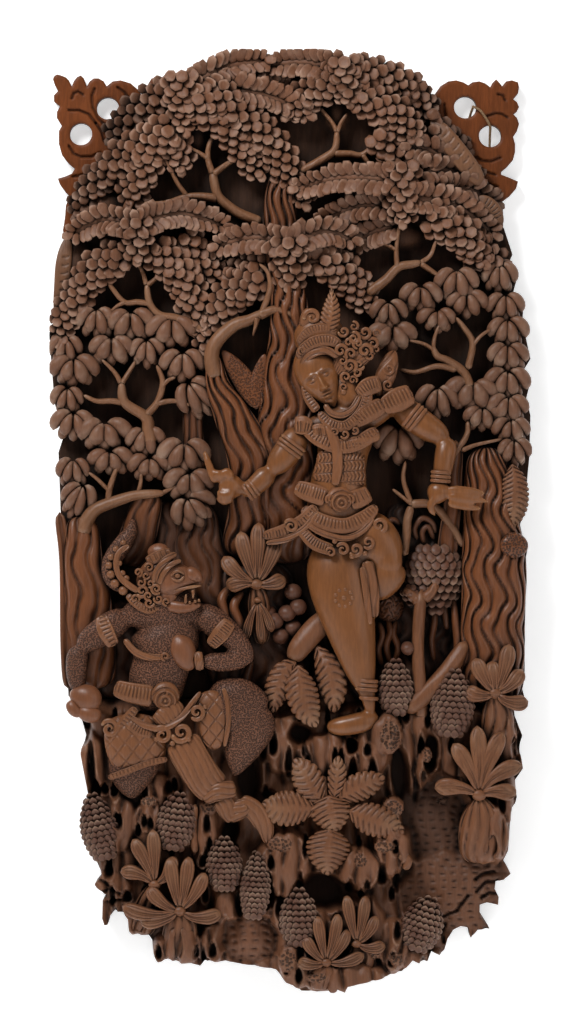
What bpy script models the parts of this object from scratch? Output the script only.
"""Carved wooden wall panel: a forest relief with a crowned figure and a monkey figure.

One plank is carved in high relief from the front, sawn to a leafy outline and pierced at its two
upper corners. A loop of twine runs through the right pair of holes. The back is flat and lies on
the wall, with the origin at its centre. +Z is up and the carving faces -Y.

The carving is laid out on a drawing grid, as a carver squares up a drawing: columns to the right
and rows downwards. Depths are counted in steps from the carved ground, FRONT_STEP being the
foremost wood.
"""

import math

import bmesh
import bpy
import numpy
from mathutils import Matrix, Vector

# Driving sizes in metres
PANEL_HEIGHT = 1.000
PANEL_WIDTH = 0.512
PANEL_DEPTH = 0.090
BOARD_THICKNESS = 0.022
EAR_THICKNESS = 0.016
HOLE_DIAMETER = 0.024
TWINE_DIAMETER = 0.003
TWINE_CLEARANCE = 0.0004
SAW_ALLOWANCE = 0.006

# Drawing grid
LEFT_COLUMN = 50
RIGHT_COLUMN = 531
TOP_ROW = 50
FOOT_ROW = 993
FRONT_STEP = 64
COLUMN_STEP = PANEL_WIDTH / (RIGHT_COLUMN - LEFT_COLUMN)
ROW_STEP = PANEL_HEIGHT / (FOOT_ROW - TOP_ROW)
DEPTH_STEP = (PANEL_DEPTH - BOARD_THICKNESS) / FRONT_STEP
MIDDLE_COLUMN = (LEFT_COLUMN + RIGHT_COLUMN) / 2
MIDDLE_ROW = (TOP_ROW + FOOT_ROW) / 2

# Every carved form is rooted inside the plank, half way through the thin ears
ROOT_STEP = -(BOARD_THICKNESS - EAR_THICKNESS / 2) / DEPTH_STEP
ROOT_STAGGER = 0.12
ROOT_LEVELS = 17

# Share of the joined carving's facets that is kept, those that show the form best
FACET_SHARE = 0.27

# Cross sections of a ridge: place across it from -1 to 1, and rise from edge (0) to crest (1)
BLADE = ((-1.0, 0.0), (0.0, 1.0), (1.0, 0.0))
ROUND = ((-1.0, 0.0), (-0.62, 0.74), (0.0, 1.0), (0.62, 0.74), (1.0, 0.0))
FLUTED = ((-1.0, 0.0), (-0.7, 0.9), (-0.45, 0.55), (-0.1, 1.0), (0.2, 0.6), (0.6, 0.95), (1.0, 0.0))

DRAWING_TO_WOOD = Matrix((
    (COLUMN_STEP, 0.0, 0.0, -MIDDLE_COLUMN * COLUMN_STEP),
    (0.0, 0.0, -DEPTH_STEP, -BOARD_THICKNESS),
    (0.0, -ROW_STEP, 0.0, MIDDLE_ROW * ROW_STEP),
    (0.0, 0.0, 0.0, 1.0),
))

for old_object in list(bpy.data.objects):
    bpy.data.objects.remove(old_object, do_unlink=True)


def new_collection(name):
    """Make a collection in the scene."""
    collection = bpy.data.collections.new(name)
    bpy.context.scene.collection.children.link(collection)
    return collection


parts = new_collection("carved_wall_panel")
carved_forms = new_collection("carved_forms")
cutters = new_collection("cutters")


def new_material(name, colour, roughness):
    """Make a Principled material with a plain colour."""
    material = bpy.data.materials.new(name)
    material.use_nodes = True
    shader = material.node_tree.nodes["Principled BSDF"]
    shader.inputs["Base Color"].default_value = (*colour, 1.0)
    shader.inputs["Roughness"].default_value = roughness
    shader.inputs["Metallic"].default_value = 0.0
    material.diffuse_color = (*colour, 1.0)
    return material


wood = new_material("oiled_hardwood", (0.25, 0.12, 0.06), 0.5)
twine = new_material("pale_twine", (0.55, 0.42, 0.28), 0.9)


def add_object(name, mesh, collection, helper=False):
    """Put a mesh in a collection; a helper is a guide or cutter and isn't part of the panel."""
    item = bpy.data.objects.new(name, mesh)
    collection.objects.link(item)
    if helper:
        item.hide_render = True
        item.display_type = "WIRE"
    return item


def close_shell(shell, name, collection, matrix):
    """Place a closed shell, turn its faces outwards and keep it as a helper."""
    bmesh.ops.transform(shell, matrix=matrix, verts=shell.verts)
    bmesh.ops.triangulate(shell, faces=shell.faces)
    bmesh.ops.recalc_face_normals(shell, faces=shell.faces)
    mesh = bpy.data.meshes.new(name)
    shell.to_mesh(mesh)
    shell.free()
    return add_object(name, mesh, collection, helper=True)


def carve(rings, name):
    """Skin closed rings into a carved form; a ring of one point is a tip."""
    shell = bmesh.new()
    rows = [[shell.verts.new(point) for point in ring] for ring in rings]
    for lower, upper in zip(rows, rows[1:]):
        for i in range(len(lower)):
            j = (i + 1) % len(lower)
            if len(upper) == 1:
                shell.faces.new((lower[i], lower[j], upper[0]))
            else:
                shell.faces.new((lower[i], lower[j], upper[j], upper[i]))
    for end in (rows[0], rows[-1]):
        if len(end) > 1:
            shell.faces.new(end)
    return close_shell(shell, name, carved_forms, DRAWING_TO_WOOD)


def next_root():
    """Root depth of the next form, staggered so that no two undersides lie in one plane."""
    return ROOT_STEP - ROOT_STAGGER * (len(carved_forms.objects) % ROOT_LEVELS)


def smooth_path(points, count):
    """Read count + 1 evenly spaced points from a smooth curve through the given ones."""
    given = numpy.array(points, dtype=float)
    if len(given) == 2:
        dense = given
    else:
        ends = numpy.vstack((2 * given[0] - given[1], given, 2 * given[-1] - given[-2]))
        dense = []
        for a, b, c, d in zip(ends, ends[1:], ends[2:], ends[3:]):
            for t in numpy.linspace(0.0, 1.0, 8, endpoint=False):
                bend = (-a + 3 * b - 3 * c + d) * t ** 3
                lean = (2 * a - 5 * b + 4 * c - d) * t ** 2
                dense.append(0.5 * (bend + lean + (c - a) * t + 2 * b))
        dense.append(given[-1])
        dense = numpy.array(dense)
    strides = numpy.linalg.norm(numpy.diff(dense[:, :2], axis=0), axis=1)
    travelled = numpy.concatenate(([0.0], numpy.cumsum(strides)))
    wanted = numpy.linspace(0.0, travelled[-1], count + 1)
    return numpy.stack([numpy.interp(wanted, travelled, axis) for axis in dense.T], axis=1)


def ridge(name, points, count=3, profile=ROUND, drop=1.0, scallop=0.0):
    """Carve a ridge along points of (column, row, half width, crest step).

    drop is the fall from crest to edge as a share of the half width, and scallop is how far
    every second section is drawn in, which cuts leaflets into the edge.
    """
    root = next_root()
    sections = smooth_path(points, count)
    rings = []
    for i, (column, row, half, crest) in enumerate(sections):
        before = sections[max(i - 1, 0)]
        after = sections[min(i + 1, count)]
        heading = Vector((after[0] - before[0], after[1] - before[1])).normalized()
        drawn_in = 1.0 - scallop if i % 2 == 0 else 1.0
        ring = []
        for across, rise in profile:
            reach = across * half * drawn_in
            level = crest - drop * half * (1.0 - rise) - half * (1.0 - drawn_in) * 0.5
            ring.append((column - heading.y * reach, row + heading.x * reach, level))
        ring.append((ring[-1][0], ring[-1][1], root))
        ring.append((ring[0][0], ring[0][1], root))
        rings.append(ring)
    return carve(rings, name)


def mound(name, outline, apex, crest, fall, shoulder=0.0):
    """Carve a mound over an outline of (column, row), rising from its edge to an apex.

    fall is the drop from crest to edge. A shoulder from 0 to 1 adds a ring at that share of the
    outline, which rounds the top.
    """
    root = next_root()
    edge = crest - fall
    rings = [[(column, row, level) for column, row in outline] for level in (root, edge)]
    if shoulder:
        rings.append([
            (apex[0] + shoulder * (column - apex[0]), apex[1] + shoulder * (row - apex[1]),
             crest - fall * shoulder ** 2 * 0.6)
            for column, row in outline
        ])
    rings.append([(*apex, crest)])
    return carve(rings, name)


def oval(column, row, width, height, sides, tilt=0.0):
    """Outline of an oval, tilted clockwise by degrees."""
    turn = math.radians(tilt)
    outline = []
    for i in range(sides):
        angle = 2 * math.pi * i / sides
        across = width / 2 * math.cos(angle)
        down = height / 2 * math.sin(angle)
        outline.append((column + across * math.cos(turn) - down * math.sin(turn),
                        row + across * math.sin(turn) + down * math.cos(turn)))
    return outline


def oval_mound(name, place, crest, fall, sides=8, tilt=0.0, shoulder=0.6):
    """Carve a rounded oval of (column, row, width, height)."""
    return mound(name, oval(*place, sides, tilt), place[:2], crest, fall, shoulder)


# Outline of the sawn panel, clockwise from the top of the left ear
LEFT_EAR_TOP = ((54, 81), (62, 73), (70, 79), (79, 72), (86, 80), (98, 75), (107, 81), (123, 77), (134, 84),
                (142, 92), (148, 77), (158, 79), (168, 86))
CREST = ((176, 70), (191, 68), (203, 63), (212, 56), (232, 52), (272, 50), (312, 52), (352, 58), (359, 69),
         (384, 73), (404, 86))
RIGHT_EAR = ((417, 79), (430, 97), (445, 80), (463, 80), (480, 79), (490, 86), (500, 78), (518, 80),
             (514, 95), (519, 106), (512, 112), (519, 122), (513, 133), (516, 153), (501, 169), (519, 180),
             (514, 191), (502, 201))
RIGHT_SIDE = ((504, 225), (513, 253), (509, 262), (518, 275), (514, 290), (524, 305), (523, 320), (531, 358),
              (525, 368), (530, 385), (527, 397), (531, 415), (530, 455), (526, 500), (520, 528), (528, 550),
              (520, 590), (518, 630), (521, 683), (526, 702), (513, 700), (514, 716), (521, 735), (519, 752),
              (522, 768), (514, 780), (516, 797), (509, 820), (507, 850), (502, 861))
RIGHT_SCROLL = ((510, 872), (493, 884), (498, 904), (484, 900), (478, 911), (488, 930), (477, 929),
                (471, 938), (468, 928), (456, 928), (448, 940), (441, 954), (430, 950), (424, 961),
                (411, 960))
FOOT = ((398, 972), (386, 971), (380, 976), (347, 981), (343, 991), (337, 986), (333, 993), (327, 986),
        (317, 991), (301, 990), (291, 980), (282, 979), (275, 969), (230, 961), (205, 959), (200, 965),
        (183, 963), (168, 957), (160, 960), (154, 950), (150, 936))
LEFT_SCROLL = ((133, 935), (130, 917), (119, 909), (110, 914), (107, 925), (102, 915), (103, 900),
               (108, 892), (96, 883), (103, 871))
LEFT_SIDE = ((92, 850), (84, 818), (90, 794), (82, 752), (86, 736), (78, 707), (68, 697), (67, 681),
             (70, 645), (64, 565), (60, 510), (58, 452), (63, 436), (54, 402), (50, 352), (58, 300),
             (65, 245), (61, 226), (70, 193), (57, 177), (74, 165), (60, 148), (59, 127), (54, 112),
             (58, 103), (52, 97))
OUTLINE = LEFT_EAR_TOP + CREST + RIGHT_EAR + RIGHT_SIDE + RIGHT_SCROLL + FOOT + LEFT_SCROLL + LEFT_SIDE

# The full ground lies inside the ears and runs past the sawn outline elsewhere
GROUND = ((175, 60), (350, 45), (405, 95), (440, 150), (450, 195), (495, 220), (540, 250), (540, 1000),
          (40, 1000), (40, 250), (75, 225), (95, 175), (150, 125))


def make_plank():
    """The thin plank that the ears are left of, a little larger than the outline all round."""
    shell = bmesh.new()
    depth = EAR_THICKNESS + SAW_ALLOWANCE
    size = (PANEL_WIDTH + 2 * SAW_ALLOWANCE, depth, PANEL_HEIGHT + 2 * SAW_ALLOWANCE)
    bmesh.ops.create_cube(shell, size=1.0)
    bmesh.ops.scale(shell, vec=size, verts=shell.verts)
    bmesh.ops.translate(shell, vec=(0.0, depth / 2 - EAR_THICKNESS, 0.0), verts=shell.verts)
    mesh = bpy.data.meshes.new("carved_panel")
    shell.to_mesh(mesh)
    shell.free()
    mesh.materials.append(wood)
    return add_object("carved_panel", mesh, parts)


def prism(name, outline, near, far, collection):
    """A straight prism over a drawn outline, from one real depth to another."""
    curve = bpy.data.curves.new(name, "CURVE")
    curve.dimensions = "2D"
    curve.fill_mode = "BOTH"
    curve.extrude = (far - near) / 2
    spline = curve.splines.new("POLY")
    spline.points.add(len(outline) - 1)
    for point, (column, row) in zip(spline.points, outline):
        x = (column - MIDDLE_COLUMN) * COLUMN_STEP
        z = (MIDDLE_ROW - row) * ROW_STEP
        point.co = (x, z, 0.0, 1.0)
    spline.use_cyclic_u = True
    guide = bpy.data.objects.new(name, curve)
    bpy.context.scene.collection.objects.link(guide)
    mesh = bpy.data.meshes.new_from_object(guide.evaluated_get(bpy.context.evaluated_depsgraph_get()))
    bpy.data.objects.remove(guide, do_unlink=True)
    shell = bmesh.new()
    shell.from_mesh(mesh)
    bmesh.ops.remove_doubles(shell, verts=shell.verts, dist=0.00001)
    upright = Matrix.Translation((0.0, -(near + far) / 2, 0.0)) @ Matrix.Rotation(math.pi / 2, 4, "X")
    return close_shell(shell, name, collection, upright)


# Canopy fronds: points of (column, row), half width, crest at the start and at the tip
FRONDS = (
    (((172, 92), (140, 108), (108, 140)), 12, 22, 2),
    (((192, 82), (230, 68), (270, 60)), 10, 36, 28),
    (((182, 74), (184, 100), (187, 134)), 10, 42, 30),
    (((196, 97), (232, 130), (262, 178)), 12, 40, 24),
    (((215, 95), (268, 140), (307, 208)), 12, 40, 22),
    (((238, 90), (275, 98), (312, 117)), 11, 36, 26),
    (((338, 68), (300, 62), (264, 66)), 10, 34, 26),
    (((340, 78), (312, 92), (285, 118)), 11, 38, 26),
    (((343, 60), (346, 82), (350, 106)), 9, 42, 34),
    (((352, 72), (398, 82), (436, 114)), 12, 38, 8),
    (((358, 97), (392, 112), (418, 142)), 12, 38, 26),
    (((445, 158), (425, 148), (404, 147)), 12, 20, 28),
    (((425, 170), (455, 170), (484, 182)), 12, 26, 2),
    (((388, 180), (340, 178), (292, 190)), 12, 40, 28),
    (((400, 165), (401, 195), (402, 226)), 10, 42, 34),
    (((385, 205), (350, 208), (314, 226)), 10, 28, 20),
    (((405, 198), (455, 205), (498, 236)), 14, 38, 14),
    (((428, 215), (460, 232), (486, 266)), 13, 32, 22),
    (((287, 243), (250, 238), (212, 248)), 12, 44, 30),
    (((291, 244), (325, 232), (358, 242)), 12, 43, 30),
    (((289, 240), (290, 268), (288, 290)), 12, 46, 34),
    (((322, 260), (348, 276), (370, 310)), 12, 34, 22),
    (((136, 226), (105, 220), (68, 236)), 13, 44, 26),
    (((140, 225), (182, 214), (230, 228)), 13, 43, 30),
    (((138, 221), (140, 245), (138, 264)), 12, 46, 36),
    (((155, 248), (175, 268), (190, 290), (196, 316), (206, 332)), 11, 34, 26),
    (((262, 276), (228, 297), (212, 325), (203, 352)), 11, 34, 26),
    (((122, 254), (98, 268), (80, 290), (62, 315), (53, 348)), 11, 34, 20),
    (((172, 130), (150, 143), (120, 160), (94, 184), (75, 218)), 12, 36, 10),
    (((150, 155), (138, 180), (128, 207)), 11, 30, 22),
    (((172, 135), (178, 153), (182, 173)), 9, 30, 24),
)
LEAFLET_PITCH = 15

# Bare swells of ground seen between the fronds
SWELLS = ((197, 137, 22, 33, 12), (105, 205, 32, 32, 12), (337, 112, 24, 34, 14), (220, 258, 120, 26, 14),
          (466, 150, 62, 70, 0), (395, 235, 60, 30, 12), (78, 268, 30, 50, 10), (295, 850, 390, 270, 18))

# Forked branches: one polyline of (column, row) each, with half width and crest
BRANCHES = (
    (((262, 222), (228, 205), (214, 178), (236, 158)), 4, 22),
    (((214, 175), (208, 158), (213, 135)), 3, 20),
    (((215, 197), (185, 197), (162, 157)), 3, 20),
    (((300, 170), (335, 150), (332, 122), (320, 108)), 4, 22),
    (((337, 152), (362, 154), (382, 177)), 3, 20),
    (((370, 290), (398, 267), (420, 263), (435, 240)), 4, 22),
    (((420, 263), (445, 282)), 3, 20),
    (((396, 268), (398, 225)), 3, 20),
    (((205, 330), (160, 315), (147, 283), (138, 262)), 4, 24),
    (((150, 303), (125, 302), (109, 280)), 3, 22),
    (((150, 500), (148, 430), (125, 402), (103, 360)), 5, 26),
    (((146, 413), (163, 385), (158, 367)), 3, 24),
    (((125, 402), (88, 398)), 3, 22),
    (((85, 530), (105, 505), (138, 495), (175, 490)), 6, 30),
    (((110, 500), (117, 468)), 4, 26),
    (((220, 390), (213, 355), (235, 325), (275, 310), (302, 322)), 7, 36),
    (((262, 313), (270, 290), (262, 264)), 4, 30),
    (((468, 385), (437, 357), (440, 322)), 4, 24),
    (((466, 365), (472, 343), (455, 318)), 4, 24),
    (((472, 343), (490, 330)), 3, 22),
    (((405, 550), (407, 520), (410, 500), (405, 462)), 4, 28),
    (((412, 503), (432, 505), (462, 545)), 4, 26),
    (((445, 470), (465, 440), (470, 385)), 5, 26),
)

# Leaf tufts: column, row, width, height, crest
TUFTS = (
    (97, 322, 38, 28, 26), (131, 325, 44, 28, 28), (172, 332, 45, 27, 30), (66, 350, 30, 26, 22),
    (112, 350, 44, 26, 28), (147, 352, 32, 25, 26), (183, 366, 40, 28, 30), (72, 371, 44, 26, 24),
    (66, 400, 28, 25, 24), (72, 425, 36, 26, 26), (105, 435, 48, 25, 28), (146, 442, 35, 26, 28),
    (185, 457, 47, 30, 32), (110, 462, 60, 20, 30), (150, 468, 42, 22, 30), (190, 485, 46, 26, 34),
    (72, 472, 26, 26, 28), (197, 397, 38, 36, 30), (193, 510, 42, 28, 34), (76, 498, 30, 36, 30),
    (388, 314, 32, 25, 30), (420, 298, 38, 25, 28), (456, 284, 42, 32, 28), (501, 277, 34, 28, 20),
    (392, 337, 48, 24, 28), (437, 320, 35, 20, 26), (466, 304, 36, 22, 26), (507, 307, 34, 27, 22),
    (509, 332, 38, 27, 24), (509, 357, 42, 26, 26), (509, 384, 43, 28, 26), (510, 409, 42, 25, 28),
    (512, 431, 36, 24, 28), (515, 452, 32, 24, 30), (472, 395, 50, 28, 28), (437, 402, 34, 30, 28),
    (480, 418, 38, 20, 26), (398, 449, 56, 40, 26),
)
TUFT_LOBES = 5


def leaf_tuft(place, crest):
    """A tuft of leaves: a smooth domed top with rounded lobes hanging below."""
    column, row, width, height = place
    outline = []
    top_sides = 4
    for i in range(top_sides + 1):
        angle = math.pi * (1.0 - i / top_sides)
        outline.append((column + width / 2 * math.cos(angle), row - height * 0.45 * math.sin(angle)))
    for i in range(1, 2 * TUFT_LOBES):
        angle = math.pi * i / (2 * TUFT_LOBES)
        reach = 1.0 if i % 2 else 0.66
        outline.append((column + width / 2 * math.cos(angle), row + height * 0.55 * reach * math.sin(angle)))
    mound("leaf_tuft", outline, (column, row - height * 0.1), crest, crest * 0.35)


# Trunks: points of (column, row, half width, crest)
TRUNKS = (
    ((285, 150, 12, 22), (280, 200, 16, 28), (280, 260, 19, 34), (278, 330, 20, 40), (262, 400, 38, 44),
     (262, 450, 40, 44), (268, 500, 38, 42), (275, 560, 44, 34)),
    ((195, 405, 10, 22), (195, 445, 10, 22)),
    ((90, 520, 20, 28), (88, 560, 22, 34), (90, 600, 24, 36), (94, 650, 24, 34)),
    ((150, 500, 12, 28), (140, 530, 16, 24), (128, 565, 16, 20)),
    ((478, 440, 20, 28), (484, 500, 24, 36), (488, 560, 30, 42), (490, 620, 28, 44), (488, 680, 30, 44)),
    ((195, 530, 22, 26), (200, 580, 24, 28), (240, 640, 22, 26)),
)


def carve_trees():
    """Canopy, branches, leaf tufts and trunks."""
    for column, row, width, height, crest in SWELLS:
        oval_mound("swell", (column, row, width, height), crest, 12)
    for points, half, start, tip in FRONDS:
        length = sum(math.dist(a, b) for a, b in zip(points, points[1:]))
        pairs = max(2, round(length / LEAFLET_PITCH))
        share = numpy.linspace(0.0, 1.0, len(points))
        path = [(*point, half * (1.0 - 0.35 * s ** 3), start + (tip - start) * s)
                for point, s in zip(points, share)]
        ridge("frond", path, 2 * pairs, BLADE, 0.8, scallop=0.42)
    for points, half, crest in BRANCHES:
        path = [(*point, half * (1.0 - 0.3 * i / len(points)), crest) for i, point in enumerate(points)]
        ridge("branch", path, 2 * (len(points) - 1), BLADE, 1.0)
    for *place, crest in TUFTS:
        leaf_tuft(place, crest)
    for points in TRUNKS:
        ridge("trunk", points, 2 * (len(points) - 1), FLUTED, 0.6)


# Crowned figure: ridges of (column, row, half width, crest)
CROWNED_LIMBS = (
    ("torso", ((350, 405, 30, 50), (344, 440, 31, 60), (338, 482, 28, 60), (338, 520, 30, 56)), 4, 0.9),
    ("near_upper_arm", ((300, 425, 15, 52), (290, 450, 13, 56), (274, 474, 11, 58)), 3, 1.0),
    ("near_forearm", ((276, 472, 11, 58), (252, 489, 9, 56), (228, 486, 8, 54)), 2, 1.0),
    ("near_finger", ((215, 478, 5, 56), (205, 449, 3, 52)), 1, 1.0),
    ("far_upper_arm", ((392, 402, 15, 48), (415, 422, 14, 50), (447, 440, 12, 52)), 3, 1.0),
    ("far_forearm", ((448, 440, 12, 52), (444, 465, 10, 56), (440, 490, 9, 58)), 2, 1.0),
    ("far_fingers", ((446, 493, 10, 58), (468, 500, 8, 56), (489, 505, 4, 48)), 2, 0.8),
    ("neck", ((344, 385, 12, 50), (352, 410, 14, 50)), 1, 1.0),
    ("collar", ((299, 426, 9, 56), (338, 428, 12, 62), (376, 414, 9, 56), (408, 396, 8, 48)), 5, 0.7),
    ("belt", ((296, 492, 11, 56), (338, 503, 14, 63), (374, 492, 11, 56)), 3, 0.6),
    ("girdle", ((302, 520, 15, 54), (340, 540, 18, 62), (378, 522, 14, 54)), 4, 0.5),
    ("standing_leg", ((336, 545, 40, 58), (340, 600, 32, 63), (352, 650, 22, 60), (364, 690, 13, 54),
                      (370, 712, 12, 52)), 6, 0.8),
    ("standing_foot", ((374, 716, 12, 52), (350, 722, 11, 54), (322, 729, 8, 50)), 2, 1.0),
    ("raised_thigh", ((352, 548, 24, 60), (382, 555, 24, 62), (402, 560, 15, 56)), 3, 0.8),
    ("folded_shin", ((404, 566, 14, 50), (388, 588, 12, 44), (368, 605, 10, 40)), 2, 0.9),
    ("hind_leg", ((332, 615, 12, 38), (312, 637, 11, 42), (296, 660, 10, 44)), 2, 1.0),
    ("sash_end", ((318, 508, 8, 52), (300, 527, 8, 48), (284, 538, 7, 44), (262, 537, 4, 40)), 4, 0.5),
    ("crown_spike", ((331, 289, 2, 44), (331, 310, 6, 50), (330, 336, 12, 56)), 2, 0.8),
    ("crown_wing", ((344, 382, 9, 54), (356, 352, 13, 54), (357, 322, 3, 44)), 3, 0.5),
    ("headband", ((300, 362, 5, 56), (323, 361, 6, 62), (346, 351, 5, 58)), 2, 0.8),
)
CROWNED_MOUNDS = (
    ("crown_bun", (309, 318, 20, 20), 52, 14, 0),
    ("crown_cap", (318, 346, 46, 42), 60, 20, -20),
    ("head", (322, 380, 42, 50), 62, 26, -25),
    ("belt_buckle", (342, 501, 27, 32), 64, 8, 0),
    ("near_fist", (224, 484, 24, 20), 58, 14, 0),
    ("far_palm", (441, 494, 24, 24), 60, 14, 0),
    ("near_armband", (291, 449, 22, 24), 60, 14, 30),
    ("far_armband", (411, 419, 20, 26), 56, 14, -30),
)

# Monkey figure
MONKEY_LIMBS = (
    ("torso", ((160, 604, 44, 50), (168, 640, 40, 60), (160, 688, 34, 60), (162, 715, 30, 56)), 5, 0.7),
    ("left_upper_arm", ((130, 612, 14, 50), (104, 630, 14, 54), (80, 648, 13, 52)), 3, 1.0),
    ("left_forearm", ((80, 646, 12, 52), (77, 672, 11, 52), (76, 694, 9, 54)), 2, 1.0),
    ("right_upper_arm", ((196, 608, 16, 52), (224, 630, 14, 56), (250, 655, 11, 54)), 3, 1.0),
    ("right_forearm", ((252, 656, 11, 54), (226, 661, 10, 58), (196, 658, 10, 62)), 2, 1.0),
    ("tail", ((133, 520, 6, 38), (120, 542, 8, 42), (111, 568, 9, 44), (124, 590, 10, 46)), 6, 0.9),
    ("jaw", ((168, 603, 8, 56), (186, 608, 6, 58), (202, 604, 4, 54)), 2, 0.8),
    ("belt", ((117, 692, 12, 54), (150, 697, 13, 62), (188, 688, 11, 56)), 3, 0.6),
    ("apron", ((128, 712, 14, 54), (165, 728, 16, 62), (198, 708, 12, 56)), 4, 0.5),
    ("left_thigh", ((135, 715, 26, 50), (138, 742, 28, 56), (134, 772, 24, 52), (134, 798, 12, 44)), 4, 0.7),
    ("right_thigh", ((205, 715, 18, 52), (238, 708, 32, 60), (250, 712, 34, 60)), 2, 0.7),
    ("right_shin", ((242, 705, 30, 58), (244, 735, 24, 54), (236, 776, 10, 44)), 3, 0.7),
    ("sash", ((180, 735, 16, 60), (196, 762, 18, 62), (222, 790, 17, 58)), 3, 0.5),
    ("sash_tail", ((236, 800, 10, 54), (254, 818, 10, 50), (268, 840, 6, 44)), 2, 0.6),
)
MONKEY_MOUNDS = (
    ("hair_bun", (163, 556, 32, 28), 54, 16, 15),
    ("cheek", (158, 586, 56, 40), 60, 18, 12),
    ("brow_and_snout", (181, 577, 50, 32), 63, 18, 22),
    ("ear_scroll", (148, 598, 32, 18), 58, 10, 10),
    ("chest_hand", (184, 648, 24, 36), 64, 12, -15),
    ("left_fist", (89, 702, 38, 34), 58, 18, 10),
    ("belt_buckle", (164, 695, 30, 34), 64, 8, 0),
    ("left_armband", (108, 632, 18, 30), 58, 14, 30),
    ("right_armband", (221, 632, 18, 30), 60, 14, 40),
    ("sash_curl", (233, 795, 26, 26), 58, 12, 0),
)


def carve_figures():
    """The crowned figure and the monkey figure."""
    figures = (("crowned", CROWNED_LIMBS, CROWNED_MOUNDS), ("monkey", MONKEY_LIMBS, MONKEY_MOUNDS))
    for owner, limbs, mounds in figures:
        for name, points, count, drop in limbs:
            ridge(f"{owner}_{name}", points, count, ROUND, drop)
        for name, place, crest, fall, tilt in mounds:
            oval_mound(f"{owner}_{name}", place, crest, fall, tilt=tilt)


# Undergrowth: hub of each plant as (column, row, crest) and the tips of its leaves
PLANTS = (
    ((257, 582, 40), ((226, 556), (240, 532), (258, 520), (276, 536), (283, 578), (229, 586)), 8),
    ((157, 878, 56), ((126, 842), (156, 826), (120, 868), (172, 856)), 11),
    ((183, 906, 60), ((172, 852), (192, 852), (208, 868), (224, 908), (128, 900), (142, 920)), 9),
    ((478, 792, 56), ((447, 742), (468, 722), (500, 728), (520, 766), (515, 798), (432, 790)), 11),
    ((329, 958, 58), ((304, 930), (318, 910), (340, 908), (352, 928), (300, 956), (362, 952)), 8),
    ((354, 940, 52), ((346, 892), (366, 892), (376, 912), (384, 946)), 8),
    ((494, 690, 52), ((468, 656), (505, 640), (519, 668), (525, 700), (464, 690)), 11),
)
BROAD_LEAVES = (
    ((296, 664, 8, 46), (284, 672, 12, 48), (278, 700, 10, 40)),
    ((300, 668, 10, 48), (302, 695, 16, 54), (312, 724, 10, 50)),
    ((318, 650, 8, 38), (332, 676, 15, 46), (334, 710, 10, 42)),
    ((322, 798, 8, 58), (312, 780, 17, 60), (298, 757, 10, 52)),
    ((334, 798, 6, 56), (336, 775, 10, 58), (338, 753, 5, 52)),
    ((340, 795, 8, 58), (358, 785, 15, 58), (383, 776, 9, 50)),
    ((312, 806, 8, 58), (290, 806, 19, 60), (263, 802, 10, 52)),
    ((330, 798, 10, 60), (330, 812, 19, 63), (330, 829, 12, 56)),
    ((350, 808, 8, 58), (374, 818, 17, 60), (402, 832, 10, 52)),
    ((328, 828, 9, 56), (328, 846, 22, 60), (328, 872, 10, 52)),
    ((512, 462, 5, 34), (511, 495, 13, 36), (512, 530, 7, 34)),
)
CONES = ((395, 689, 30, 54, 52), (451, 705, 38, 66, 56), (101, 828, 34, 66, 50), (177, 822, 34, 58, 56),
         (225, 864, 30, 54, 56), (256, 886, 25, 68, 58), (299, 917, 34, 58, 58), (421, 924, 38, 56, 52),
         (433, 570, 60, 62, 36))
FRUIT = ((262, 627, 12), (273, 619, 12), (285, 613, 12), (298, 606, 12), (292, 591, 12), (283, 632, 13))

# Rocks and ground below the figures: column, row, width, height, crest
ROCKS = (
    (94, 762, 26, 62, 38), (122, 822, 26, 60, 40), (148, 822, 30, 50, 42), (205, 835, 28, 70, 40),
    (285, 745, 40, 60, 40), (325, 758, 50, 54, 44), (368, 752, 44, 50, 44), (386, 733, 30, 38, 50),
    (405, 745, 24, 60, 34), (427, 768, 22, 56, 44), (441, 812, 34, 50, 38), (465, 830, 26, 70, 44),
    (492, 835, 28, 66, 46), (285, 862, 50, 66, 48), (358, 868, 40, 46, 50), (392, 845, 34, 66, 48),
    (335, 890, 60, 50, 20), (280, 925, 40, 60, 40), (295, 965, 34, 44, 48), (345, 975, 80, 34, 50),
    (392, 945, 30, 56, 42), (112, 885, 40, 32, 36), (140, 918, 30, 34, 34), (182, 942, 36, 42, 50),
    (215, 940, 30, 36, 44), (165, 945, 22, 30, 44), (245, 938, 70, 50, 28), (440, 888, 84, 66, 28),
    (500, 735, 30, 60, 40), (262, 710, 20, 30, 20), (418, 722, 26, 60, 34), (400, 640, 44, 60, 14),
    (385, 612, 40, 30, 20), (230, 615, 30, 50, 26), (245, 790, 30, 50, 14), (100, 720, 30, 40, 26),
)
STEMS = (
    ((421, 590, 8, 40), (417, 650, 6, 44), (418, 712, 7, 40)),
    ((407, 708, 10, 44), (436, 684, 9, 44), (464, 648, 7, 38)),
    ((258, 582, 11, 38), (262, 612, 10, 32), (262, 640, 8, 24)),
    ((438, 918, 12, 40), (466, 898, 14, 42), (506, 872, 8, 40)),
    ((452, 912, 12, 38), (478, 918, 9, 36), (486, 929, 5, 32)),
    ((470, 890, 9, 40), (488, 892, 8, 36), (496, 902, 5, 32)),
    ((428, 950, 12, 38), (446, 930, 10, 38), (462, 914, 8, 36)),
    ((104, 884, 10, 34), (118, 893, 10, 36), (106, 912, 6, 32)),
)


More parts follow.
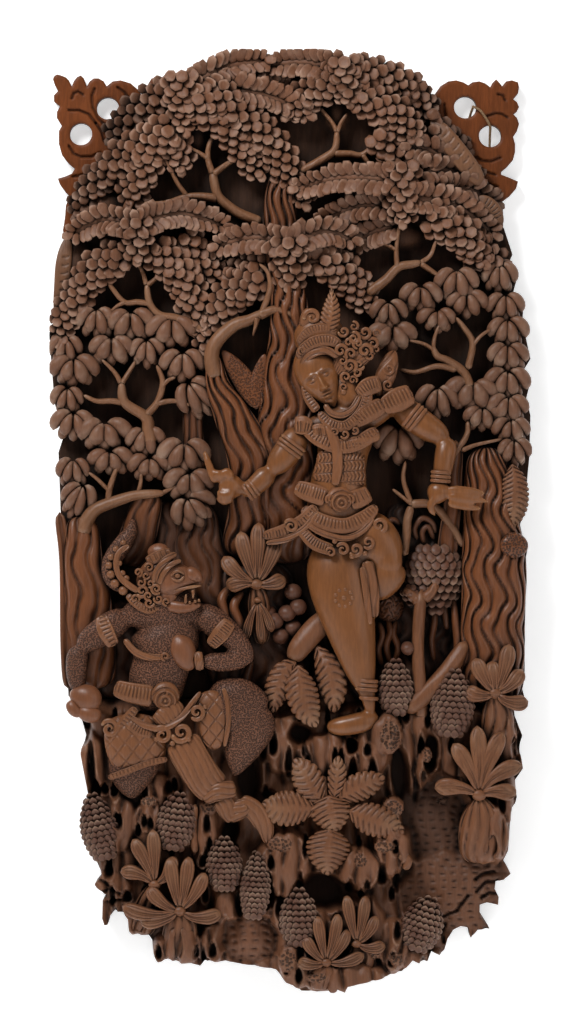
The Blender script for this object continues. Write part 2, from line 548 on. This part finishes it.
def carve_undergrowth():
    """Plants, broad leaves, cones, fruit, stems and rocks."""
    for hub, tips, half in PLANTS:
        column, row, crest = hub
        oval_mound("plant_hub", (column, row, 1.2 * half, 1.2 * half), crest, 6, sides=6, shoulder=0.0)
        for tip_column, tip_row in tips:
            start = (column + 0.1 * (tip_column - column), row + 0.1 * (tip_row - row))
            middle = ((column + 2 * tip_column) / 3, (row + 2 * tip_row) / 3)
            tip = (tip_column, tip_row, 3, crest - 8)
            path = ((*start, half * 0.5, crest - 2), (*middle, half, crest), tip)
            ridge("leaf", path, 2, BLADE, 0.7)
    for points in BROAD_LEAVES:
        ridge("broad_leaf", points, 4, BLADE, 0.4, scallop=0.18)
    for *place, crest in CONES:
        oval_mound("cone", place, crest, 16, shoulder=0.62)
    for column, row, crest in FRUIT:
        oval_mound("fruit", (column, row, 18, 18), crest + 22, 10, sides=6, shoulder=0.0)
    for *place, crest in ROCKS:
        oval_mound("rock", place, crest, 12, sides=7, shoulder=0.66)
    for points in STEMS:
        ridge("stem", points, 2, ROUND, 0.9)


# Ear holes: centres as (column, row)
LEFT_HOLES = ((107, 105), (80, 131))
RIGHT_HOLES = ((466, 104), (491, 133))
HOLE_SIDES = 20

# The twine's back stretch lies in a shallow recess behind the right ear
RECESS_DEPTH = TWINE_DIAMETER + 4 * TWINE_CLEARANCE
RECESS_OUTLINE = ((452, 92), (476, 92), (502, 120), (502, 150), (494, 165), (470, 165), (452, 140))


def on_wood(column, row, depth):
    """Real place of a drawn point at a real depth in front of the back."""
    return Vector(((column - MIDDLE_COLUMN) * COLUMN_STEP, -depth, (MIDDLE_ROW - row) * ROW_STEP))


def hole_cutter(column, row):
    """A round cutter through an ear."""
    shell = bmesh.new()
    radius = HOLE_DIAMETER / 2
    bmesh.ops.create_cone(shell, cap_ends=True, segments=HOLE_SIDES, radius1=radius, radius2=radius,
                          depth=4 * EAR_THICKNESS)
    upright = Matrix.Rotation(math.pi / 2, 4, "X")
    place = Matrix.Translation(on_wood(column, row, EAR_THICKNESS / 2)) @ upright
    return close_shell(shell, "ear_hole", cutters, place)


def add_boolean(target, operation, name, item=None, collection=None):
    """Cut or join the target with one object, or with a whole collection."""
    modifier = target.modifiers.new(name, "BOOLEAN")
    modifier.operation = operation
    modifier.solver = "EXACT"
    if collection:
        modifier.operand_type = "COLLECTION"
        modifier.collection = collection
    else:
        modifier.object = item


def make_carving():
    """The full ground with every carved form on it, joined and kept to its clearest facets."""
    carving = prism("carving", GROUND, EAR_THICKNESS / 4, BOARD_THICKNESS, cutters)
    carve_trees()
    carve_figures()
    carve_undergrowth()
    add_boolean(carving, "UNION", "carved_forms", collection=carved_forms)
    thin = carving.modifiers.new("facet_size", "DECIMATE")
    thin.ratio = FACET_SHARE
    return carving


def carve_panel():
    """Set the carving in the plank, saw its outline and flat back, and pierce its ears."""
    panel = make_plank()
    add_boolean(panel, "UNION", "carving", item=make_carving())
    margin = SAW_ALLOWANCE
    saw_cut = prism("sawn_outline", OUTLINE, 0.0, PANEL_DEPTH + margin, cutters)
    add_boolean(panel, "INTERSECT", "sawn_outline", item=saw_cut)
    for column, row in LEFT_HOLES + RIGHT_HOLES:
        add_boolean(panel, "DIFFERENCE", "ear_hole", item=hole_cutter(column, row))
    recess = prism("tie_recess", RECESS_OUTLINE, -margin, RECESS_DEPTH, cutters)
    add_boolean(panel, "DIFFERENCE", "tie_recess", item=recess)
    return panel


def make_tie():
    """The loop of twine: over the front between the right holes, and slack in the recess behind."""
    reach = TWINE_DIAMETER / 2 + TWINE_CLEARANCE
    from_centre = (HOLE_DIAMETER / 2 - 1.5 * reach) / COLUMN_STEP
    (first_column, first_row), (second_column, second_row) = RIGHT_HOLES
    first = (first_column + from_centre, first_row)
    second = (second_column, second_row - from_centre)
    front = EAR_THICKNESS + reach
    back = RECESS_DEPTH - reach - TWINE_CLEARANCE
    below = second_row + from_centre
    route = [
        on_wood(*first, EAR_THICKNESS * 0.8),
        on_wood(*first, front * 0.98),
        on_wood(first[0] + 2.5, first[1] + 1, front * 1.05),
        on_wood(first[0] + 8, first[1] + 5, front * 1.08),
        on_wood(second[0] - 2.5, second[1] - 6, front * 1.08),
        on_wood(second[0] - 0.5, second[1] - 1.5, front * 1.03),
        on_wood(*second, front * 0.85),
        on_wood(second[0], (second[1] + below) / 2, EAR_THICKNESS * 0.45),
        on_wood(second[0], below - 1, back * 1.2),
        on_wood(second[0] - 1, below + 7, back),
        on_wood(second[0] - 9, below + 13, back),
        on_wood(second[0] - 24, below + 7, back),
        on_wood(second[0] - 32, below - 8, back),
        on_wood(first_column - 2, first_row + 20, back),
        on_wood(first_column + 4, first_row + 11, back),
        on_wood(first_column + 6, first_row + 5, EAR_THICKNESS * 0.4),
    ]
    points = 44
    loop = smooth_loop(route, points)
    curve = bpy.data.curves.new("hanging_tie", "CURVE")
    curve.dimensions = "3D"
    curve.bevel_depth = TWINE_DIAMETER / 2
    curve.bevel_resolution = 1
    spline = curve.splines.new("POLY")
    spline.points.add(points - 1)
    for point, place in zip(spline.points, loop):
        point.co = (*place, 1.0)
    spline.use_cyclic_u = True
    curve.materials.append(twine)
    return add_object("hanging_tie", curve, parts)


def smooth_loop(route, count):
    """Read count evenly spaced points from a closed smooth curve through the route."""
    size = len(route)
    dense = []
    for i in range(size):
        a, b, c, d = (route[(i + k) % size] for k in (-1, 0, 1, 2))
        for t in numpy.linspace(0.0, 1.0, 12, endpoint=False):
            bend = (3 * b - a - 3 * c + d) * t ** 3
            lean = (2 * a - 5 * b + 4 * c - d) * t ** 2
            dense.append(0.5 * (bend + lean + (c - a) * t + 2 * b))
    dense.append(dense[0])
    dense = numpy.array([tuple(place) for place in dense])
    strides = numpy.linalg.norm(numpy.diff(dense, axis=0), axis=1)
    travelled = numpy.concatenate(([0.0], numpy.cumsum(strides)))
    wanted = numpy.linspace(0.0, travelled[-1], count, endpoint=False)
    return numpy.stack([numpy.interp(wanted, travelled, axis) for axis in dense.T], axis=1)


carve_panel()
make_tie()
